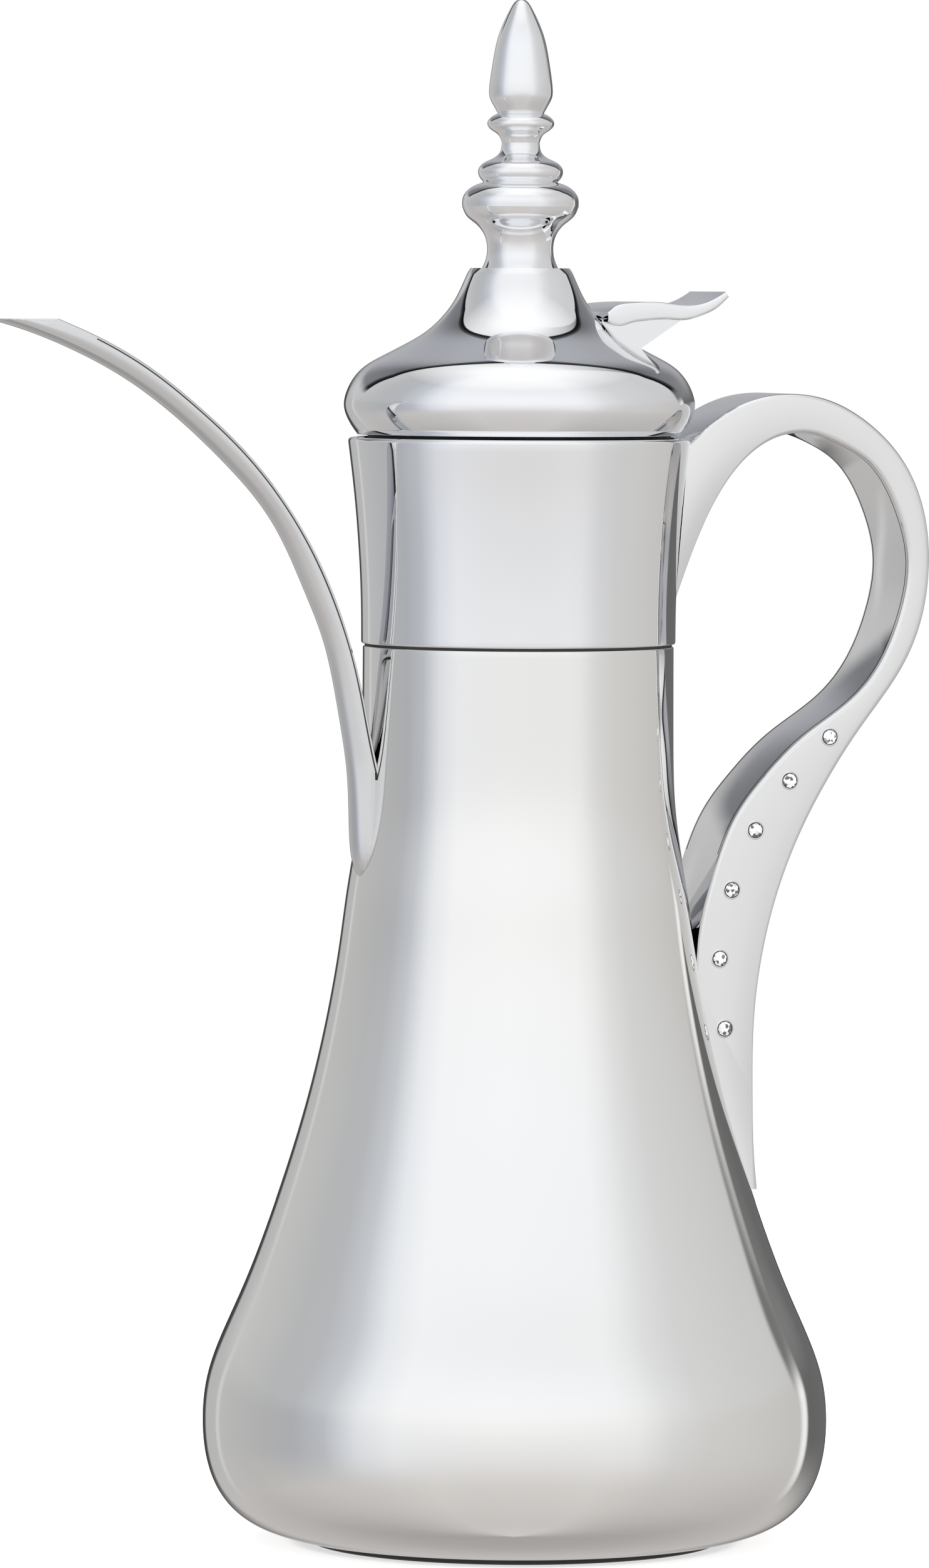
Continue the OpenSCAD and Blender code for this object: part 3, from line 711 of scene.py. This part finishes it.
def math_of(tree, operation, *values):
    node = add_node(tree, "ShaderNodeMath", operation=operation)
    for socket, value in zip(node.inputs, values):
        put(tree, socket, value)
    return node.outputs["Value"]


def mix_of(tree, factor, a, b, blend_type="MIX"):
    node = add_node(tree, "ShaderNodeMix", data_type="RGBA", blend_type=blend_type)
    for place, value in ((0, factor), (6, a), (7, b)):
        put(tree, node.inputs[place], value)
    return node.outputs[2]


def step_of(tree, value, low, high):
    """0 to 1 as the value goes from low to high, with soft ends."""
    return add_node(tree, "ShaderNodeMapRange", [("Value", value)], interpolation_type="SMOOTHSTEP",
                    From_Min=low, From_Max=high).outputs["Result"]


# Brightness of the studio at eye height, in degrees from the camera's side, + to the right
AROUND = [
    (-180, 0.48), (-177, 0.48), (-175, 0.06), (-164, 0.06), (-161, 0.50), (-146, 0.52), (-143, 0.70),
    (-140, 0.54), (-128, 0.52), (-105, (0.475, 0.48, 0.485)), (-90, (0.45, 0.465, 0.49)),
    (-75, (0.54, 0.56, 0.60)), (-60, (0.83, 0.855, 0.90)), (-45, (0.97, 0.98, 1.0)), (-5, 1.0),
    (20, 0.985), (36, 0.975), (46, 0.94), (60, 0.78), (75, (0.70, 0.695, 0.68)),
    (90, (0.66, 0.655, 0.635)), (110, (0.63, 0.62, 0.60)), (131, (0.60, 0.585, 0.565)),
    (134, 0.95), (137, 0.95), (139, 0.14), (166, 0.15), (175, 0.06), (177, 0.48), (180, 0.48)]
# The same from about 15 degrees up
AROUND_HIGH = [
    (-180, (0.46, 0.47, 0.50)), (-165, 0.45), (-150, 0.62), (-128, 0.56), (-105, (0.50, 0.51, 0.52)),
    (-90, (0.50, 0.515, 0.54)), (-75, (0.60, 0.62, 0.66)), (-60, (0.87, 0.89, 0.92)),
    (-45, (0.99, 0.99, 1.0)), (-5, 1.0), (20, 0.985), (40, 0.97), (50, 0.90), (60, 0.80), (75, 0.71),
    (90, 0.68), (110, 0.65), (128, 0.62), (131, 0.18), (150, 0.26), (165, 0.40),
    (180, (0.46, 0.47, 0.50))]
# The same on the floor
AROUND_LOW = [
    (-180, 0.6), (-150, 0.6), (-120, 0.58), (-90, 0.63), (-60, 0.78), (-30, 0.97), (0, 1.0), (30, 0.98),
    (60, 0.78), (90, 0.64), (120, 0.59), (150, 0.6), (180, 0.6)]
FLOOR_TINT = (1.0, 0.965, 0.94, 1)
# How all three change from straight down (-1) to straight up (1), in front and at the sides
UP_FRONT = [
    (-1.0, 0.47), (-0.9, 0.50), (-0.707, 0.57), (-0.42, 0.67), (-0.26, 0.755), (-0.09, 0.85),
    (0.09, 0.935), (0.26, (0.985, 0.995, 1.0)), (0.42, (0.975, 1.0, 1.03)), (0.57, (0.945, 0.97, 1.0)),
    (0.707, (0.89, 0.905, 0.925)), (0.82, 0.98), (1.0, 1.0)]
UP_SIDE = [
    (-1.0, 0.66), (-0.9, 0.70), (-0.707, 0.82), (-0.42, 0.91), (-0.26, 0.95), (0.0, 0.96), (0.7, 1.0),
    (1.0, 1.0)]
# How much of the white ceiling shows, from eye height (0) to straight up (1)
CEILING = [(0, 0.0), (0.72, 0.0), (0.82, 0.3), (0.906, 0.6), (0.966, 0.92), (1.0, 1.0)]
CEILING_WHITE = (1.1, 1.1, 1.1, 1)
# The room behind the edge of the tent, from eye height (0) to straight up (1), and its far wall
BACKDROP = [(0, 0.30), (0.34, (0.22, 0.225, 0.24)), (0.57, (0.19, 0.195, 0.21)), (0.75, 0.13), (1.0, 0.3)]
FAR_WALL = (0.44, 0.45, 0.485, 1)
# Edge of the tent: it slants back as it rises, and shows above a certain height
EDGE_SLOPE = 0.5
EDGE_BACK = 0.77
EDGE_NEAREST = -0.46
EDGE_HEIGHT = 0.24, 0.36
# Brightness across the edge of the tent: room, black seam, tent
SEAM = [
    (-0.2, 1.0), (-0.10, 0.95), (-0.07, 0.25), (-0.04, 0.05), (-0.004, 0.04), (0.004, 1.05), (0.2, 1.0)]


def world():
    """The studio that the metal mirrors; the camera itself sees plain white."""
    w = bpy.data.worlds.new("studio")
    bpy.context.scene.world = w
    w.use_nodes = True
    tree = w.node_tree
    tree.nodes.clear()
    out = add_node(tree, "ShaderNodeOutputWorld")
    where = add_node(tree, "ShaderNodeTexCoord").outputs["Generated"]
    spun = add_node(tree, "ShaderNodeVectorRotate", [("Vector", where)], rotation_type="Z_AXIS",
                    Angle=math.radians(-VIEW_AZIMUTH))
    parts = add_node(tree, "ShaderNodeSeparateXYZ", [("Vector", spun.outputs["Vector"])]).outputs
    up = parts["Z"]
    front = math_of(tree, "MULTIPLY", parts["Y"], -1)
    around = math_of(tree, "DEGREES", math_of(tree, "ARCTAN2", parts["X"], front))
    level, high, low = (ramp_of(tree, around, stops, -180, 180)
                        for stops in (AROUND, AROUND_HIGH, AROUND_LOW))
    side = mix_of(tree, step_of(tree, up, 0.04, 0.22), level, high)
    low = mix_of(tree, 1.0, low, FLOOR_TINT, "MULTIPLY")
    side = mix_of(tree, step_of(tree, up, -0.12, -0.5), side, low)
    upward = mix_of(tree, math_of(tree, "MAXIMUM", front, 0.0), ramp_of(tree, up, UP_SIDE, -1, 1),
                    ramp_of(tree, up, UP_FRONT, -1, 1))
    wall = mix_of(tree, 1.0, side, upward, "MULTIPLY")
    tent = mix_of(tree, ramp_of(tree, up, CEILING, 0, 1), wall, CEILING_WHITE)
    slope = math_of(tree, "SUBTRACT", math_of(tree, "MULTIPLY", up, EDGE_SLOPE), EDGE_BACK)
    past = math_of(tree, "SUBTRACT", front, math_of(tree, "MINIMUM", slope, EDGE_NEAREST))
    raised = step_of(tree, up, *EDGE_HEIGHT)
    shown = math_of(tree, "MULTIPLY", raised, step_of(tree, past, 0.0, -0.02))
    middle = step_of(tree, math_of(tree, "ABSOLUTE", parts["X"]), 0.5, 0.12)
    backdrop = mix_of(tree, middle, ramp_of(tree, up, BACKDROP, 0, 1), FAR_WALL)
    room = mix_of(tree, shown, tent, backdrop)
    seamed = mix_of(tree, 1.0, room, ramp_of(tree, past, SEAM, -0.2, 0.2), "MULTIPLY")
    mirrored = mix_of(tree, raised, room, seamed)
    studio = add_node(tree, "ShaderNodeBackground", [("Color", mirrored)], Strength=1.0)
    plain = add_node(tree, "ShaderNodeBackground", Color=(1, 1, 1, 1), Strength=1.0)
    seen = add_node(tree, "ShaderNodeLightPath").outputs["Is Camera Ray"]
    choose = add_node(tree, "ShaderNodeMixShader", [
        ("Fac", seen), (1, studio.outputs["Background"]), (2, plain.outputs["Background"])])
    tree.links.new(out.inputs["Surface"], choose.outputs["Shader"])


def soft_sun():
    """Wide soft light from above that brings the floor to white; the metal doesn't mirror it."""
    data = bpy.data.lights.new("soft_sun", "SUN")
    data.energy = SUN_ENERGY
    data.angle = math.radians(SUN_ANGLE)
    lamp = bpy.data.objects.new("soft_sun", data)
    bpy.context.scene.collection.objects.link(lamp)
    lamp.location = (0, 0, 2)
    lamp.visible_glossy = False


camera()
floor()
world()
soft_sun()
bpy.context.scene.view_settings.view_transform = "Standard"
